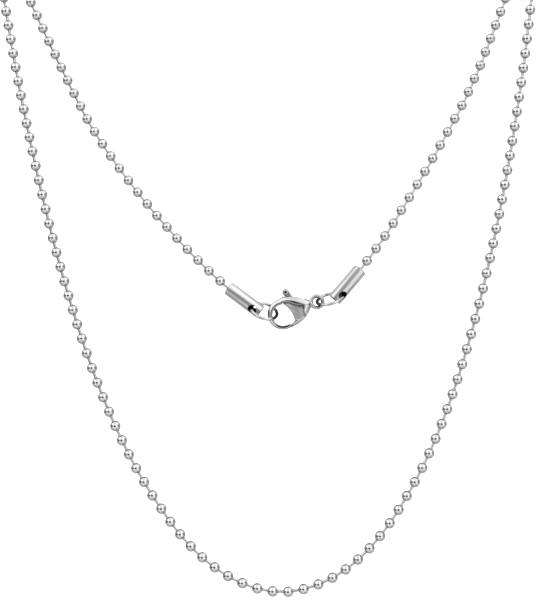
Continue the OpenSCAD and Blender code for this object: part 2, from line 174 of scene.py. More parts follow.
def ball_points(centres, before, after):
    """Balls as rings about the line from one link to the next. A ring at angle t from the link that leaves
    is the circle of radius R sin t, and is tilted about the bend's axis by the bend times a half less t over
    pi, so that both holes face their links. The outer rings turn in to make the lips of the holes. The
    value that comes with each point is the sixth power of the cosine of t, high only near the holes."""
    hole = math.asin(HOLE_R / BALL_R)
    lip = hole * LIP_SHARE
    ring_angle = np.concatenate([[lip], np.linspace(hole, math.pi - hole, BALL_RINGS), [math.pi - lip]])
    ring_r = np.full(ring_angle.shape, BALL_R)
    ring_r[[0, -1]] = BALL_R - LIP_DEPTH
    out = unit(after - centres)
    back = unit(centres - before)
    axis = unit(out + back)
    bend = np.arccos(np.clip((out * back).sum(1), -1, 1))
    turn_axis = np.cross(back, out)
    straight = np.linalg.norm(turn_axis, axis=1) < 1e-6
    turn_axis[straight] = np.cross(axis[straight], BALL_ASIDE)
    turn_axis = unit(turn_axis)
    side = np.cross(turn_axis, axis)
    round_angle = np.arange(BALL_SIDES) * 2 * math.pi / BALL_SIDES
    along = (ring_r * np.cos(ring_angle))[None, :, None]
    across = (ring_r * np.sin(ring_angle))[None, :, None] * np.cos(round_angle)
    up = (ring_r * np.sin(ring_angle))[None, :, None] * np.sin(round_angle)
    tilt = bend[:, None, None] * (0.5 - ring_angle / math.pi)[None, :, None]
    x = along * np.cos(tilt) - across * np.sin(tilt)
    y = along * np.sin(tilt) + across * np.cos(tilt)
    ways = [v[:, None, None, :] for v in (axis, side, turn_axis)]
    points = centres[:, None, None, :] + x[..., None] * ways[0] + y[..., None] * ways[1]
    near_hole = np.broadcast_to(np.abs(np.cos(ring_angle))[None, :, None] ** 6, x.shape)
    return points + up[..., None] * ways[2], near_hole


def link_points(start, end, from_start, from_end):
    """Wire links: rings about each line from centre to centre, a little thinner at the middle. The value
    that comes with each point is 0.1, which makes the wire a little darker than the balls."""
    way = end - start
    reach = np.linalg.norm(way, axis=1)
    way = unit(way)
    side = unit(np.cross(way, LINK_ASIDE))
    other = np.cross(way, side)
    share = np.array([0, 0.3, 0.5, 0.7, 1.0])
    radius = LINK_R * np.where(share == 0.5, LINK_WAIST, 1.0)
    at = from_start[:, None] + (reach - from_start - from_end)[:, None] * share
    angle = np.arange(LINK_SIDES) * 2 * math.pi / LINK_SIDES
    points = start[:, None, None, :] + at[:, :, None, None] * way[:, None, None, :]
    points = points + radius[None, :, None, None] * (
        np.cos(angle)[:, None] * side[:, None, None, :] + np.sin(angle)[:, None] * other[:, None, None, :])
    return points, np.full(points.shape[:3], 0.1)


def chain_part(name, first, last):
    """One stretch of the chain: the balls and links from link number first up to last, in one mesh."""
    balls = np.arange(max(first, 1), last)
    ball, ball_hole = ball_points(centres[balls], centres[balls - 1], centres[balls + 1])
    links = np.arange(first, last)
    start_in = np.where(links > 0, BALL_R - LINK_IN_BALL, LINK_AT_END)
    end_in = np.where(links < LINKS - 1, BALL_R - LINK_IN_BALL, LINK_AT_END)
    link, link_hole = link_points(centres[links], centres[links + 1], start_in, end_in)
    ball_faces = grid_faces(len(balls), ball.shape[1], ball.shape[2])
    link_faces = grid_faces(len(links), link.shape[1], link.shape[2])[:, ::-1]
    points = np.concatenate([ball.reshape(-1, 3), link.reshape(-1, 3)])
    faces = np.concatenate([ball_faces, link_faces + ball[..., 0].size])
    crevice = np.concatenate([ball_hole.ravel(), link_hole.ravel()])
    return mesh_object(name, points, faces, crevice=crevice)


class Socket:
    """A shader socket with arithmetic: each operation adds the Math node that works it out."""

    def __init__(self, tree, link):
        self.tree, self.link = tree, link

    def math(self, operation, *values):
        """Adds the Math node for an operation on sockets or numbers."""
        return self.tree.node("ShaderNodeMath", {"operation": operation}, dict(enumerate(values)))[0]

    def __add__(self, other):
        return self.math("ADD", self, other)

    def __sub__(self, other):
        return self.math("SUBTRACT", self, other)

    def __rsub__(self, other):
        return self.math("SUBTRACT", other, self)

    def __mul__(self, other):
        return self.math("MULTIPLY", self, other)

    def smooth(self, low, high):
        """0 below low, 1 above high and a smooth step between them."""
        values = {"Value": self, "From Min": low, "From Max": high}
        return self.tree.node("ShaderNodeMapRange", {"interpolation_type": "SMOOTHSTEP"}, values)[0]

    __radd__ = __add__
    __rmul__ = __mul__


class Nodes:
    """The node tree of a material or world, cleared, with one method that adds any node. The others name
    the few kinds that every steel here is made of."""

    def __init__(self, owner):
        owner.use_nodes = True
        self.tree = owner.node_tree
        self.tree.nodes.clear()

    def node(self, kind, settings=None, values=None):
        """Adds a node: its settings first, then each socket's value or link. Gives its outputs."""
        node = self.tree.nodes.new(kind)
        for key, value in (settings or {}).items():
            setattr(node, key, value)
        for key, value in (values or {}).items():
            if isinstance(value, Socket):
                self.tree.links.new(value.link, node.inputs[key])
            else:
                node.inputs[key].default_value = value
        return [Socket(self, out) for out in node.outputs]

    def mark(self, name):
        """Value that the mesh holds for each point under a name."""
        return self.node("ShaderNodeAttribute", {"attribute_name": name})[2]

    def noise(self, place, scale, detail):
        """Noise from 0 to 1, its spots about one over scale metres wide."""
        return self.node("ShaderNodeTexNoise", {}, {"Vector": place, "Scale": scale, "Detail": detail})[0]

    def mix(self, share, first, second):
        """Colour that goes from the first, where share is 0, to the second, where it is 1."""
        return self.node("ShaderNodeMix", {"data_type": "RGBA"}, {0: share, 6: first, 7: second})[2]

    def metal(self, base, roughness, strength, depth, height):
        """Bare metal as the tree's output, its surface lifted by height times depth, in metres."""
        bump = self.node("ShaderNodeBump", {}, {"Strength": strength, "Distance": depth, "Height": height})
        shader = self.node("ShaderNodeBsdfPrincipled", {}, {
            "Base Color": base, "Metallic": 1.0, "Roughness": roughness, "Normal": bump[0]})
        self.node("ShaderNodeOutputMaterial", {}, {"Surface": shader[0]})


def shade(colour, share):
    """Colour made brighter or darker by a share."""
    return tuple(min(1.0, c * share) for c in colour) + (1,)


def polished_steel(name, colour, rough, grime_and_shade, grime_and_shade_tone):
    """Polished stainless steel: clouds a millimetre wide in the colour and the roughness, and scratches a
    tenth of that in the bump. The crevice value times the share of dirt and shade darkens the steel towards
    the colour times its tone: dirt in the balls' holes on the chain, and on the fittings painted shade in
    hollows, gaps and where the pieces meet, with the dark joint at each ring's cut."""
    material = bpy.data.materials.new(name)
    nodes = Nodes(material)
    place = nodes.node("ShaderNodeTexCoord")[3]
    crevice = nodes.mark("crevice")
    cloud = nodes.noise(place, 900.0, 3.0)
    scratches = nodes.noise(place, 9000.0, 2.0)
    base = nodes.mix(cloud, shade(colour, 0.86), shade(colour, 1.06))
    # Dirt in the balls' holes on the chain, painted shade in the fittings' hollows and gaps
    base = nodes.mix(crevice * grime_and_shade, base, shade(colour, grime_and_shade_tone))
    roughness = rough + (cloud - 0.5) * (rough * 0.8) + crevice * 0.12
    nodes.metal(base, roughness, strength=0.1, depth=0.00001, height=scratches)
    return material


centres = chain_centres()
chain_steel = polished_steel("tumbled_steel", (0.62, 0.62, 0.63), rough=0.045, grime_and_shade=0.8, grime_and_shade_tone=0.15)
for name, first, last in (("left", 0, MIDDLE_LINK), ("right", MIDDLE_LINK, LINKS)):
    beads = chain_part("beads_" + name, first, last)
    beads.data.materials.append(chain_steel)
    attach(beads, "necklace")
    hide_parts("chain_" + name)

# End tubes
# Drawn stainless tube, closed at one end by a pressed cap with a hole for the chain's last link. The open
# end has a hole across it for the jump ring. Drawing leaves fine lines along it; its inside is rougher and
# is painted nearly black as shade.
TUBE_R = 1.6
TUBE_L = 9.2
TUBE_WALL = 0.3
TUBE_EDGE = 0.12
CAP = 0.5
CAP_RIM = 0.15
CAP_RISE = 0.3
CAP_HOLE_R = 0.42
BORE_CORNER = 0.3
HOLE_EDGE = 0.1
CROSS_R = 1.02
CROSS_INSET = 1.85
SLOPE_STEP = 0.004
LOOK_OUT = 0.4


def rounded_max(a, b, soft):
    """Larger of two fields. Where they differ by less than soft, the square of what is left over four times
    soft is added, which rounds the edge between them."""
    left = np.maximum(soft - np.abs(a - b), 0)
    return np.maximum(a, b) + left * left / (4 * soft)


def rounded_min(a, b, soft):
    """Smaller of two fields, with the corner between them filled in the same way."""
    return -rounded_max(-a, -b, soft)


def tube_field(turned, back_r):
    """Field of a tube up the Z axis with its mouth at the origin: negative inside the wall or the cap. It
    is the largest of the outside, the bore, the cap's hole and the cross holes, each as a distance. The
    cross holes are turned from Y by some degrees, and the one in the back wall has a radius of its own."""
    way_x, way_y = math.sin(math.radians(turned)), math.cos(math.radians(turned))

    def field(x, y, z):
        across = np.hypot(x, y)
        top = z - TUBE_L + CAP_RIM - CAP_RISE * (1 - (across / TUBE_R) ** 2)
        outside = rounded_max(rounded_max(across - TUBE_R, top, TUBE_EDGE), -z, TUBE_EDGE)
        bore = rounded_max(across - TUBE_R + TUBE_WALL, z - TUBE_L + CAP, BORE_CORNER)
        cross_r = np.where(x * way_x + y * way_y > 0, back_r, CROSS_R)
        cross = np.hypot(x * way_y - y * way_x, z - CROSS_INSET) - cross_r
        solid = rounded_max(rounded_max(outside, -bore, HOLE_EDGE), -cross, TUBE_EDGE)
        return rounded_max(solid, CAP_HOLE_R - across, HOLE_EDGE)

    return field


def field_slope(field, points):
    """Slope of a field at points, from its values a small step to each side of them."""
    steps = np.eye(3) * SLOPE_STEP
    sides = [field(*(points + step).T) - field(*(points - step).T) for step in steps]
    return np.stack(sides, axis=1) / (2 * SLOPE_STEP)


def surface(field, low, high, step):
    """Closed surface where a field is zero, inside the box from low to high. Each cell of a grid that the
    surface goes through gets one point, at the mean of the places where its edges cross the surface, and
    each crossed edge gets a face between its four cells. The points are then moved four times down the
    field's slope, by the field over the slope's square, which brings them onto the surface."""
    axes = [np.arange(a, b + step, step) for a, b in zip(low, high)]
    value = field(*np.meshgrid(*axes, indexing="ij", sparse=True))
    cells = tuple(n - 1 for n in value.shape)
    total, count = np.zeros(cells + (3,)), np.zeros(cells)
    orders = ((0, 1, 2), (1, 2, 0), (2, 0, 1))
    edges = []
    for a, b, c in orders:
        turned = value.transpose(a, b, c)
        crossed = (turned[:-1] < 0) != (turned[1:] < 0)
        edges.append((turned, crossed))
        place = np.indices(crossed.shape) * 1.0
        place[0] += turned[:-1] / np.where(crossed, turned[:-1] - turned[1:], 1)
        for j, k in ((0, 0), (0, 1), (1, 0), (1, 1)):
            part = (slice(None), slice(j, j + cells[b]), slice(k, k + cells[c]))
            count.transpose(a, b, c)[...] += crossed[part]
            for axis, way in enumerate((a, b, c)):
                total.transpose(a, b, c, 3)[..., way] += np.where(crossed[part], place[axis][part], 0)
    used = count > 0
    number = np.cumsum(used).reshape(cells) - 1
    points = np.array(low) + step * total[used] / count[used][:, None]
    quads = []
    for order, (turned, crossed) in zip(orders, edges):
        i, j, k = np.nonzero(crossed[:, 1:-1, 1:-1])
        cell = number.transpose(order)
        quad = np.stack([cell[i, j, k], cell[i, j + 1, k], cell[i, j + 1, k + 1], cell[i, j, k + 1]], axis=1)
        outward = turned[i, j + 1, k + 1] < 0
        quads.append(np.where(outward[:, None], quad, quad[:, ::-1]))
    for repeat in range(4):
        slope = field_slope(field, points)
        points = points - (field(*points.T) / (slope ** 2).sum(1).clip(0.1))[:, None] * slope
    return points, np.concatenate(quads)


def swing(u, v, angle):
    """Two coordinates turned in their plane, from the second axis towards the first."""
    c, s = math.cos(angle), math.sin(angle)
    return u * c + v * s, v * c - u * s


def solid_part(name, field, low, high, step, origin, turn_y, dark, **marks):
    """Piece from a field in its own axes, turned about Y and moved to its place. Its crevice value, which the
    steels paint as shade, is high where a point a little way out from the surface comes near it again, and
    where dark says so. Each further mark is a value worked out from the place of each point."""
    points, faces = surface(field, low, high, step)
    slope = field_slope(field, points)
    steep = np.linalg.norm(slope, axis=1).clip(0.3)
    away = points + LOOK_OUT * unit(slope)
    near = np.clip(1 - field(*away.T) / (0.8 * LOOK_OUT * steep), 0, 1)
    crevice = np.maximum(near, dark(*points.T))
    marks = {key: mark(*points.T) for key, mark in marks.items()}
    x, y, z = points.T
    x, z = swing(x, z, turn_y)
    return mesh_object(name, np.stack([x, y, z], axis=1) + origin, faces, crevice=crevice, **marks)


def drawn_steel(name, colour, rough, origin, turn_y):
    """Drawn stainless steel: fine lines along the tube in the colour, the roughness and the bump, and a
    rougher inside painted nearly black as shade, where the crevice value is high."""
    material = bpy.data.materials.new(name)
    nodes = Nodes(material)
    crevice = nodes.mark("crevice")
    along = nodes.node("ShaderNodeMapping", {"vector_type": "TEXTURE"}, {
        "Vector": nodes.node("ShaderNodeTexCoord")[3], "Location": tuple(origin * 0.001),
        "Rotation": (0, turn_y, 0), "Scale": (1, 1, 60)})[0]
    lines = nodes.noise(along, 1500.0, 3.0)
    fine_lines = nodes.noise(along, 14000.0, 2.0)
    base = nodes.mix(lines.smooth(0.38, 0.62), shade(colour, 0.5), shade(colour, 1.25))
    # Painted shade: the tube's inside and its hollows go nearly black
    base = nodes.mix(crevice.smooth(0.2, 0.9), base, shade(colour, 0.04))
    roughness = rough + (lines - 0.5) * 0.12 + crevice * 0.3
    nodes.metal(base, roughness, strength=0.6, depth=0.00006, height=lines * 0.7 + fine_lines * 0.3)
    return material


def tube_inside(x, y, z):
    """1 on the bore as far as the cap, 0 on the outside: where the tube's inside is painted dark as shade."""
    into_wall = TUBE_R - np.hypot(x, y)
    return np.clip(into_wall / 0.1 - 1, 0, 1) * (z < TUBE_L - CAP + 0.05)


# For each tube: the middle of its cross holes, the way from its mouth to its cap in degrees above +X, the
# turn of the cross holes and the radius of the back one
tube_places = {}
for name, cross, rise, turned, back_r in (
        ("left", (-5.245, -88.212), 141.6, 30, 0.74), ("right", (14.439, -85.619), 48, -40, 1.02)):
    direction = np.array([math.cos(math.radians(rise)), 0, math.sin(math.radians(rise))])
    mouth = np.array([cross[0], STRAND_Y, cross[1]]) - CROSS_INSET * direction
    turn_y = math.atan2(direction[0], direction[2])
    tube_places[name] = (mouth, direction)
    tube = solid_part("tube_" + name, tube_field(turned, back_r), low=(-1.75, -1.75, -0.15),
                      high=(1.75, 1.75, 9.5), step=0.08, origin=mouth, turn_y=turn_y, dark=tube_inside)
    tube_steel = drawn_steel("drawn_steel_" + name, (0.7, 0.7, 0.71), rough=0.48, origin=mouth, turn_y=turn_y)
    tube.data.materials.append(tube_steel)
    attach(tube, "necklace")
    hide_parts("end_tube_" + name)

# Clasp body and pin
# Cast stainless body, rounded like a pebble and polished: a hook round an open end, two cheeks with the
# lever's slot between them, and an eye. The pin is riveted through the cheeks and polished flush.
HOOK = np.array([1.4, 5.2, -90.2])
CLASP_TURN = math.radians(-19.9)
HOOK_MID = (0, 0.2)
HOOK_R = 3.5
HOOK_HOLE_R = 2.45
HOOK_HIGH, HOOK_WIDE, HOOK_EDGE = 0.75, 0.95, 0.35
CHEEK_HIGH, CHEEK_WIDE = 1.43, 1.6
FOOT_Z, FOOT_NARROWER, FOOT_EDGE = -1.2, 0.56, 0.11
BACK_MID = (0.2318, -4.2239)
BACK_R = 7.93
BACK_X = -0.183
CROWN = 0.38
BELLY_MID = (1.1, 3.6)
BELLY_R = 6.9
EYE = (8.26, 0)
EYE_ROOM_R = 1.55
EYE_RING_R, EYE_RING_WIDE, EYE_RING_HIGH = 1.325, 0.425, 0.6
EYE_FILLET = 0.3
PIVOT = (5.65, -0.1)
PIN_R = 0.35
PIN_HOLE_R = 0.38
PIN_EDGE = 0.05
LEVER_REACH = 5.46
TIP_GAP = 0.02
SLOT_HALF = 0.7
SLOT_R = 5.6
SLOT_X = (2.1, 5.35)
SLOT_END_X = 5.85
SLOT_EDGE = 0.12
HUB_ROOM_R = 0.78
SPINE_EDGE = ((0.2, 2.75), (1.4, 2.55), (2.3, 2.15), (3.15, 1.4), (3.8, 1.0), (5.05, 0.55))
WINDOW = SPINE_EDGE + ((4.45, -2.4), (4.45, -7), (-7, -7), (-7, 2.75))
WINDOW_EDGE = 0.2


def disc(x, z, middle, r):
    """Distance outside a disc."""
    return np.hypot(x - middle[0], z - middle[1]) - r


def polygon(x, z, corners):
    """Distance outside a polygon: the least distance to an edge, negative where a line to the right crosses
    an odd number of edges."""
    near, inside = np.inf, False
    for (ax, az), (bx, bz) in zip(corners, corners[1:] + corners[:1]):
        ex, ez = bx - ax, bz - az
        share = np.clip(((x - ax) * ex + (z - az) * ez) / (ex * ex + ez * ez), 0, 1)
        near = np.minimum(near, np.hypot(x - ax - share * ex, z - az - share * ez))
        meets = ax + ex * (z - az) / (ez if ez else 1e-9)
        inside = inside ^ (((az > z) != (bz > z)) & (x < meets))
    return np.where(inside, -near, near)


def ease(value, low, high):
    """0 below low, 1 above high and a smooth step between them."""
    share = np.clip((value - low) / (high - low), 0, 1)
    return share * share * (3 - 2 * share)


def cushion(outline, y, wide, high, scale):
    """Field of a form that is rounded all along its outline: over the outer width its surface is a quarter
    of an ellipse, as high as high. The scale makes the field read about as a distance."""
    return (np.hypot(np.maximum(1 + outline / wide, 0), y / high) - 1) * scale


def clasp_outline(x, z):
    """Distance outside the clasp seen from the front: the hook's disc, joined to the overlap of the discs of
    the back and the belly. The back rises smoothly out of the hook by the height of its crown."""
    back = disc(x, z, BACK_MID, BACK_R) - CROWN * ease(x, -0.2, 2.0)
    lens = np.maximum(back, disc(x, z, BELLY_MID, BELLY_R))
    return np.minimum(disc(x, z, HOOK_MID, HOOK_R), np.maximum(lens, BACK_X - x))


def foot(z):
    """0 above the hook's foot, 1 from 1 mm below its start."""
    return np.clip(FOOT_Z - z, 0, 1)


def pebble(x, y, z):
    """Field of the clasp's rounded form, which gets higher and wider from the hook to the cheeks and
    narrower towards the foot of the hook."""
    share = ease(x, -0.5, 4.0)
    high = HOOK_HIGH + (CHEEK_HIGH - HOOK_HIGH) * share
    wide = HOOK_WIDE + (CHEEK_WIDE - HOOK_WIDE) * share - FOOT_NARROWER * foot(z) * (1 - share)
    return cushion(clasp_outline(x, z), y, wide, high, high)


def body_field(x, y, z):
    """Field of the clasp body: the pebble less the hook's hole, the window, the lever's slot and the pin's
    hole, joined to the eye, whose section is an ellipse."""
    hole = disc(x, z, (0, 0), HOOK_HOLE_R)
    window = np.maximum(polygon(x, z, WINDOW), disc(x, z, PIVOT, LEVER_REACH + TIP_GAP))
    form = rounded_max(pebble(x, y, z), -hole, HOOK_EDGE + (FOOT_EDGE - HOOK_EDGE) * foot(z))
    form = rounded_max(form, -window, WINDOW_EDGE)
    form = rounded_max(form, -disc(x, z, EYE, EYE_ROOM_R), EYE_FILLET)
    eye = np.hypot(disc(x, z, EYE, EYE_RING_R) / EYE_RING_WIDE, y / EYE_RING_HIGH) - 1
    form = rounded_min(form, eye * 0.45, EYE_FILLET)
    slot = np.maximum(disc(x, z, PIVOT, SLOT_R), np.maximum(x - SLOT_END_X, PIVOT[1] - z))
    slot = np.minimum(slot, disc(x, z, PIVOT, HUB_ROOM_R))
    slot = np.minimum(slot, np.maximum(np.maximum(SLOT_X[0] - x, x - SLOT_X[1]), z))
    form = rounded_max(form, -np.maximum(slot, np.abs(y) - SLOT_HALF), SLOT_EDGE)
    return rounded_max(form, -disc(x, z, PIVOT, PIN_HOLE_R), PIN_EDGE)


def pin_field(x, y, z):
    """Field of the pin, its ends cut to the pebble's surface."""
    return rounded_max(pebble(x, y, z), disc(x, z, PIVOT, PIN_R), PIN_EDGE)


def near_tip(x, y, z):
    """Painted shade at the cut of the hook's tip: 1 there, falling to nothing 0.26 mm from it."""
    near = np.abs(disc(x, z, PIVOT, LEVER_REACH + TIP_GAP))
    return np.clip(1.3 - near / 0.2, 0, 1) * (z < -1.5) * (x < 2)


def inside_hook(x, y, z):
    """Painted shade: 0.8 on the wall of the hook's hole and 1 at the tip's cut."""
    wall = disc(x, z, (0, 0), HOOK_HOLE_R)
    return np.maximum(near_tip(x, y, z), 0.8 * np.exp(-(wall / 0.14) ** 2) * (x < 3))


fitting_steel = polished_steel("fitting_steel", (0.55, 0.55, 0.56), rough=0.08, grime_and_shade=0.95, grime_and_shade_tone=0.05)
body = solid_part("body_of_clasp", body_field, low=(-3.7, -1.6, -3.6), high=(10.3, 1.6, 4.0), step=0.08,
                  origin=HOOK, turn_y=CLASP_TURN, dark=inside_hook)
body.data.materials.append(fitting_steel)
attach(body, "necklace")
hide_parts("clasp_body")
pin = solid_part("pin_of_clasp", pin_field, low=(5.2, -1.6, -0.55), high=(6.1, 1.6, 0.35), step=0.05,
                 origin=HOOK, turn_y=CLASP_TURN, dark=near_tip)
pin.data.materials.append(fitting_steel)
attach(pin, "necklace")
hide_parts("clasp_pin")

# Clasp lever
# Cast stainless lever: the gate that closes the hook, its face left brushed inside a polished rim, and a
# thumb tab with a round knob that sticks out through the body's back.
LEVER_HALF = 0.6
LEVER_EDGE = 0.2
HUB_R = 0.68
LEVER_HOLE_R = 0.4
RIM_WIDE, RIM_HIGH, RIM_SCALE = 0.9, 1.05, 0.95
RECESS_MID = (3.3, 0)
RECESS_R = 2.25
RECESS_FOOT_Z = -1.0
RECESS_FILLET = 0.3
RECESS_HALF = 0.66
RECESS_EDGE = 0.15
GATE_MID = (-3.64, -1.14)
GATE_EDGE_R = 5.74
GATE_CORNER = 0.1
TIP = (0.86, -2.72)
TIP_TOP_Z = -1.95
GATE = ((0.95, 2.6), (3.65, 0.65), (4.93, 0.31), (4.33, -2.4), (4.33, -7), (0, -7), TIP, (2.2, TIP_TOP_Z),
        (0, TIP_TOP_Z))
HEEL = ((3.4, 0.4), (3.4, 1.9), (4.2, 1.6), (5.1, 1.0), (5.4, 0.4))
ROOT = ((5.65, 0.58), (3.65, 0.65), (3.65, -7), (5.25, -7), (5.25, -0.1))
ARM = ((0.95, 2.6), (1.65, 3.75), (1.65, 4.67), (3.35, 3.75), (3.55, 3.1), (3.65, 0.65), (2.1, 1))
ARM_REACH = 5.5
NECK = ((1.95, 3.7), (1.7, 4.67), (3.15, 4.67), (3.35, 3.75))
KNOB = (2.4, 4.67)
KNOB_R, KNOB_WIDE, KNOB_HIGH = 0.75, 0.42, 0.85
KNOB_FILLET = 0.3
STROKE_TURN = math.radians(50)
RIM_ROUGH = 0.07


def gate_outline(x, z):
    """Distance outside the gate's face: within the belly's disc and the lever's reach, less the disc of its
    inner edge above the tip."""
    edge = np.maximum(disc(x, z, GATE_MID, GATE_EDGE_R), TIP_TOP_Z - z)
    form = rounded_max(disc(x, z, BELLY_MID, BELLY_R), disc(x, z, PIVOT, LEVER_REACH), GATE_CORNER)
    return rounded_max(rounded_max(form, polygon(x, z, GATE), GATE_CORNER), -edge, GATE_CORNER)


def face_of_gate(x, z):
    """Distance outside the recess: its disc joined to all that lies above its foot's height."""
    return rounded_min(disc(x, z, RECESS_MID, RECESS_R), RECESS_FOOT_Z - z, RECESS_FILLET)


def lever_field(x, y, z):
    """Field of the lever: the gate's rounded rim less its recess, the flat plate of the hub, the root and
    the heel, the rounded arm and neck of the tab, and the tab's knob."""
    belly = disc(x, z, BELLY_MID, BELLY_R)
    rim = rounded_max(cushion(belly, y, RIM_WIDE, RIM_HIGH, RIM_SCALE), gate_outline(x, z), LEVER_EDGE)
    recess = rounded_max(face_of_gate(x, z), RECESS_HALF - np.abs(y), RECESS_EDGE)
    rim = rounded_max(rim, -recess, RECESS_EDGE)
    root = np.maximum(polygon(x, z, ROOT), belly)
    arm = np.maximum(polygon(x, z, ARM), disc(x, z, PIVOT, ARM_REACH))
    plate = np.minimum(np.minimum(disc(x, z, PIVOT, HUB_R), root), polygon(x, z, HEEL))
    plate = rounded_max(plate, np.abs(y) - LEVER_HALF, LEVER_EDGE)
    neck = np.minimum(arm, polygon(x, z, NECK))
    plate = np.minimum(plate, cushion(neck, y, LEVER_HALF, LEVER_HALF, LEVER_HALF))
    knob = cushion(disc(x, z, KNOB, KNOB_R), y, KNOB_WIDE, KNOB_HIGH, 0.6)
    form = rounded_min(rounded_min(rim, plate, 0.05), knob, KNOB_FILLET)
    return rounded_max(form, -disc(x, z, PIVOT, LEVER_HOLE_R), PIN_EDGE)


def brushed_steel(name, colour, edge_colour, rough):
    """Brushed stainless steel inside polished edges: slanting strokes in the colour, the roughness and the
    bump where the brushed value is high, and painted shade where the crevice value is high."""
    material = bpy.data.materials.new(name)
    nodes = Nodes(material)
    brushed = nodes.mark("brushed")
    crevice = nodes.mark("crevice")
    along = nodes.node("ShaderNodeMapping", {"vector_type": "TEXTURE"}, {
        "Vector": nodes.node("ShaderNodeTexCoord")[3], "Location": tuple(HOOK * 0.001),
        "Rotation": (0, STROKE_TURN, 0), "Scale": (14, 1, 1)})[0]
    strokes = nodes.noise(along, 6500.0, 4.0)
    fine_strokes = nodes.noise(along, 15000.0, 2.0)
    base = nodes.mix(strokes.smooth(0.35, 0.65), shade(colour, 0.65), shade(colour, 1.2))
    base = nodes.mix(brushed, edge_colour + (1,), base)
    # Painted shade under the body's back, at the tab's neck, the hook's tip and the gate's inner edge
    base = nodes.mix(crevice * 0.9, base, shade(colour, 0.12))
    roughness = RIM_ROUGH + brushed * (rough - RIM_ROUGH + (strokes - 0.5) * 0.2) + crevice * 0.1
    height = brushed * (strokes * 0.6 + fine_strokes * 0.4)
    nodes.metal(base, roughness, strength=0.5, depth=0.00004, height=height)
    return material


def brushed_face(x, y, z):
    """1 on the face of the gate inside its rim, front and back."""
    face = np.clip(-face_of_gate(x, z) / 0.08, 0, 1) * np.clip((0.72 - np.abs(y)) / 0.04, 0, 1)
    return face * (np.abs(y) > 0.5) * (z < 2.5)


def under_spine(x, y, z):
    """Painted shade: 1 where the lever goes in under the edge of the body's back or meets the hook's tip, and
    less where it comes out above the back and along the gate's inner edge."""
    spine = np.clip(1.2 + polygon(x, z, WINDOW) / 0.35, 0, 1) * (z > -0.3) * (z < 2.7)
    pocket = np.exp(-((x - 4.3) / 0.7) ** 2 - ((z - 0.6) / 0.4) ** 2)
    neck = 0.85 * np.clip((4.3 - z) / 0.5, 0, 1) * (z > 2.7)
    inner = disc(x, z, GATE_MID, GATE_EDGE_R)
    rim = 0.7 * np.exp(-(inner / 0.14) ** 2) * (np.abs(y) > 0.4) * (z > TIP_TOP_Z)
    return np.max([spine, pocket, neck, near_tip(x, y, z), rim], axis=0)


lever = solid_part("lever_of_clasp", lever_field, low=(0.4, -1.2, -3.7), high=(6.7, 1.2, 5.7), step=0.07,
                   origin=HOOK, turn_y=CLASP_TURN, dark=under_spine, brushed=brushed_face)
gate_steel = brushed_steel("brushed_steel", (0.66, 0.66, 0.67), edge_colour=(0.53, 0.53, 0.54), rough=0.45)
lever.data.materials.append(gate_steel)
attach(lever, "lever")
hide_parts("clasp_lever")

# Jump rings
# Round stainless wire bent to a ring round a bar and cut off, its two ends closed up to a fine cut. The left
# ring hangs in the clasp's hook, the right one in its eye, and each goes through a tube's cross holes.
RING_R = 3.0
RING_STEPS = 90
WIRE_R = 0.372
WIRE_SIDES = 24
RING_CUT = 0.004


def ring_part(name, centre, slope, lean, cut_at, held_at, tube_mouth, tube_way):
    """Wire carried round a circle: a ring of points about each place on the circle, from one side of the cut
    to the other, with the last rings drawn in to close the ends. The circle leans back from upright and
    slopes across, in degrees. The crevice value is high at the cut, a dark joint, and as painted shade
    where the clasp holds the ring, near the clasp's body and inside the tube."""
    share = np.concatenate([[0, 0, 0.004], np.linspace(0.012, 0.988, RING_STEPS), [0.996, 1, 1]])
    radius = WIRE_R * np.concatenate([[0.001, 0.9, 1], np.ones(RING_STEPS), [1, 0.9, 0.001]])
    angle = cut_at + RING_CUT + (2 * math.pi - 2 * RING_CUT) * share
    around = np.arange(WIRE_SIDES) * 2 * math.pi / WIRE_SIDES
    out = RING_R + radius[:, None] * np.cos(around)
    x = out * np.cos(angle)[:, None]
    y, z = swing(out * np.sin(angle)[:, None], radius[:, None] * np.sin(around), math.radians(lean - 90))
    x, z = swing(x, z, math.radians(-slope))
    points = np.stack([x, y, z], axis=-1).reshape(-1, 3) + centre
    near_cut = np.exp(-np.minimum(share, 1 - share) / 0.006)
    # Painted shade on the part of the ring that the clasp holds
    held = 0.95 * np.clip((np.cos(angle - held_at) - 0.66) / 0.14, 0, 1)
    wire_mark = np.repeat(np.maximum(near_cut, held), WIRE_SIDES)
    # Painted shade on the wire near the clasp's body and inside the tube, where it lies in shadow
    x, y, z = (points - HOOK).T
    x, z = swing(x, z, -CLASP_TURN)
    clasp_shade = np.clip(1 - (body_field(x, y, z) - 0.05) / 0.5, 0, 1)
    off = points - tube_mouth
    along = off @ tube_way
    from_axis = np.linalg.norm(off - along[:, None] * tube_way, axis=1)
    covered = np.clip((TUBE_R + 0.2 - from_axis) / 0.3, 0, 1) * (along > -0.1)
    crevice = np.max([wire_mark, clasp_shade, covered], axis=0)
    return mesh_object(name, points, grid_faces(1, len(share), WIRE_SIDES)[:, ::-1], crevice=crevice)


# For each ring: its middle, its slope and lean, and where on the circle its cut is and the clasp holds it
for name, centre, slope, lean, cut_at, held_at in (
        ("left", (-2.894, 5.0, -89.174), -20, 53, 1.3, 0),
        ("right", (12.132, 4.88, -86.805), 15.2, 64.5, 1.7, math.pi)):
    ring = ring_part("ring_" + name, np.array(centre), slope, lean, cut_at, held_at, *tube_places[name])
    ring.data.materials.append(fitting_steel)
    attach(ring, "necklace")
    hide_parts("jump_ring_" + name)

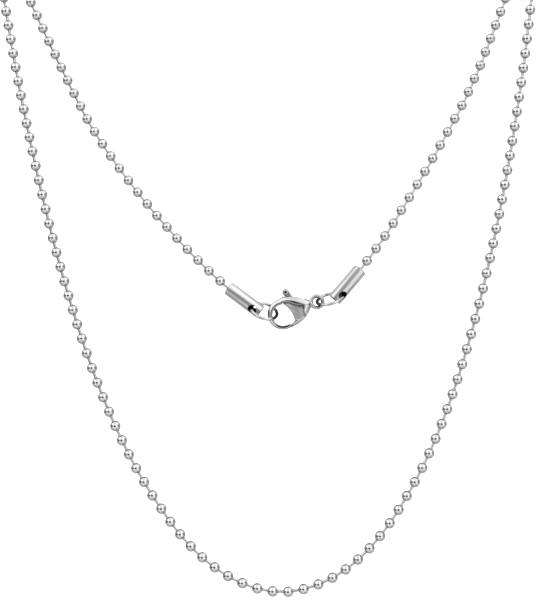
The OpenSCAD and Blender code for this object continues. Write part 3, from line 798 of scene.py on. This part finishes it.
# Floor, backdrop, light and camera
# A white sweep far behind and below the necklace, a soft white surround that only the steel mirrors, and a
# camera a little below the middle, looking up by a few degrees and rolled by a degree and a half.
FAR = 4000
SWEEP_DEPTH = 900
FLOOR_Z = -230
SWEEP_R = 500
SWEEP_HALF_WIDTH = 5000
ROOM_LIGHT = 1.75
LOW_LESS = 0.68
BEHIND_LIGHT = 0.55
FAR_BEHIND_MORE = 0.9
TILT = math.radians(-4)
ROLL = math.radians(-1.54)
DISTANCE = 353
AIM = np.array([-0.952, 0, -87.036])
LENS = 94.2
SENSOR = 36


def sweep():
    """Floor that curves up into a wall: a profile of floor, quarter circle and wall, carried along x."""
    a = np.linspace(0, math.pi / 2, 13)
    floor = np.array([[-FAR, FLOOR_Z]])
    bend = np.stack([SWEEP_DEPTH + SWEEP_R * np.sin(a), FLOOR_Z + SWEEP_R - SWEEP_R * np.cos(a)], axis=1)
    wall = np.array([[SWEEP_DEPTH + SWEEP_R, FLOOR_Z + FAR]])
    profile = np.concatenate([floor, bend, wall])
    across = np.array([-SWEEP_HALF_WIDTH, SWEEP_HALF_WIDTH])
    row, x = np.meshgrid(np.arange(len(profile)), across, indexing="ij")
    points = np.stack([x, profile[row, 0], profile[row, 1]], axis=-1).reshape(-1, 3)
    i = np.arange(len(profile) - 1)
    faces = np.stack([2 * i, 2 * i + 1, 2 * i + 3, 2 * i + 2], axis=1)
    return mesh_object("sweep", points, faces)


paper = bpy.data.materials.new("white_paper")
paper_nodes = Nodes(paper)
paper_shader = paper_nodes.node("ShaderNodeBsdfPrincipled", {}, {
    "Base Color": (0.9, 0.9, 0.9, 1), "Roughness": 0.9, "Emission Color": (1, 1, 1, 1),
    "Emission Strength": 0.45})[0]
paper_nodes.node("ShaderNodeOutputMaterial", {}, {"Surface": paper_shader})
backdrop = sweep()
backdrop.data.materials.append(paper)
backdrop.visible_glossy = False


def patch(nodes, direction, centre, reach, soft):
    """How much a direction falls on a soft-edged card: one inside an oval round a point of the unit sphere,
    as far out as the reach along each axis, fading to nothing over the outer share named soft."""
    scale = tuple(1 / r for r in reach)
    moved = nodes.node("ShaderNodeVectorMath", {"operation": "SUBTRACT"}, {0: direction, 1: centre})[0]
    moved = nodes.node("ShaderNodeVectorMath", {"operation": "MULTIPLY"}, {0: moved, 1: scale})[0]
    length = nodes.node("ShaderNodeVectorMath", {"operation": "LENGTH"}, {0: moved})[1]
    return 1.0 - length.smooth(1 - soft, 1.0)


world = bpy.data.worlds.new("studio")
bpy.context.scene.world = world
sky = Nodes(world)
way = sky.node("ShaderNodeTexCoord")[0]
height = sky.node("ShaderNodeSeparateXYZ", {}, {0: way})
behind = height[1].smooth(0.0, 0.65)
low = 1.0 - height[2].smooth(-0.59, -0.19)
light = (ROOM_LIGHT - low * LOW_LESS) * (1.0 - behind) + behind * BEHIND_LIGHT
# Dark cards: the middle of each, its reach, how soft its edge is and the share of the light that it takes
for centre, reach, soft, depth in (
        ((-0.07, -0.75, -0.01), (0.62, 0.42, 0.52), 0.35, 0.97),
        ((-0.83, 0.11, 0.04), (0.39, 0.35, 0.7), 0.5, 0.98),
        ((-0.92, -0.45, 0.0), (0.36, 0.65, 0.5), 0.6, 0.95),
        ((0.82, -0.05, 0.04), (0.32, 0.74, 0.73), 0.6, 0.95),
        ((-0.1, 0.8, 0.54), (0.81, 0.77, 1.15), 0.6, 0.99),
        ((-0.02, -0.25, 0.71), (0.5, 1.14, 0.75), 0.7, 0.32),
        ((-0.54, 0.01, -0.71), (0.74, 0.5, 0.7), 0.6, 0.45),
        ((0.32, -0.06, -0.76), (0.57, 0.67, 0.72), 0.6, 0.45)):
    light = light * (1.0 - patch(sky, way, centre, reach, soft) * depth)
light = light + height[1].smooth(0.82, 0.98) * FAR_BEHIND_MORE
mirrored = sky.node("ShaderNodeLightPath")[3]
strength = 1.0 + mirrored * (light - 1.0)
background = sky.node("ShaderNodeBackground", {}, {"Color": (1, 1, 1, 1), "Strength": strength})[0]
sky.node("ShaderNodeOutputWorld", {}, {"Surface": background})

look = np.array([0, math.cos(TILT), -math.sin(TILT)])
right_way = np.array([1.0, 0, 0])
up_way = np.cross(right_way, look)
right_rolled = math.cos(ROLL) * right_way + math.sin(ROLL) * up_way
up_rolled = -math.sin(ROLL) * right_way + math.cos(ROLL) * up_way
lens = bpy.data.cameras.new("camera")
lens.lens = LENS
lens.sensor_width = SENSOR
lens.clip_start = 0.01
lens.clip_end = 20
camera = bpy.data.objects.new("camera", lens)
bpy.context.scene.collection.objects.link(camera)
axes = Matrix((right_rolled, up_rolled, -look)).transposed().to_4x4()
camera.matrix_world = Matrix.Translation(Vector((AIM - DISTANCE * look) * 0.001)) @ axes
bpy.context.scene.camera = camera
bpy.context.scene.view_settings.view_transform = "Standard"
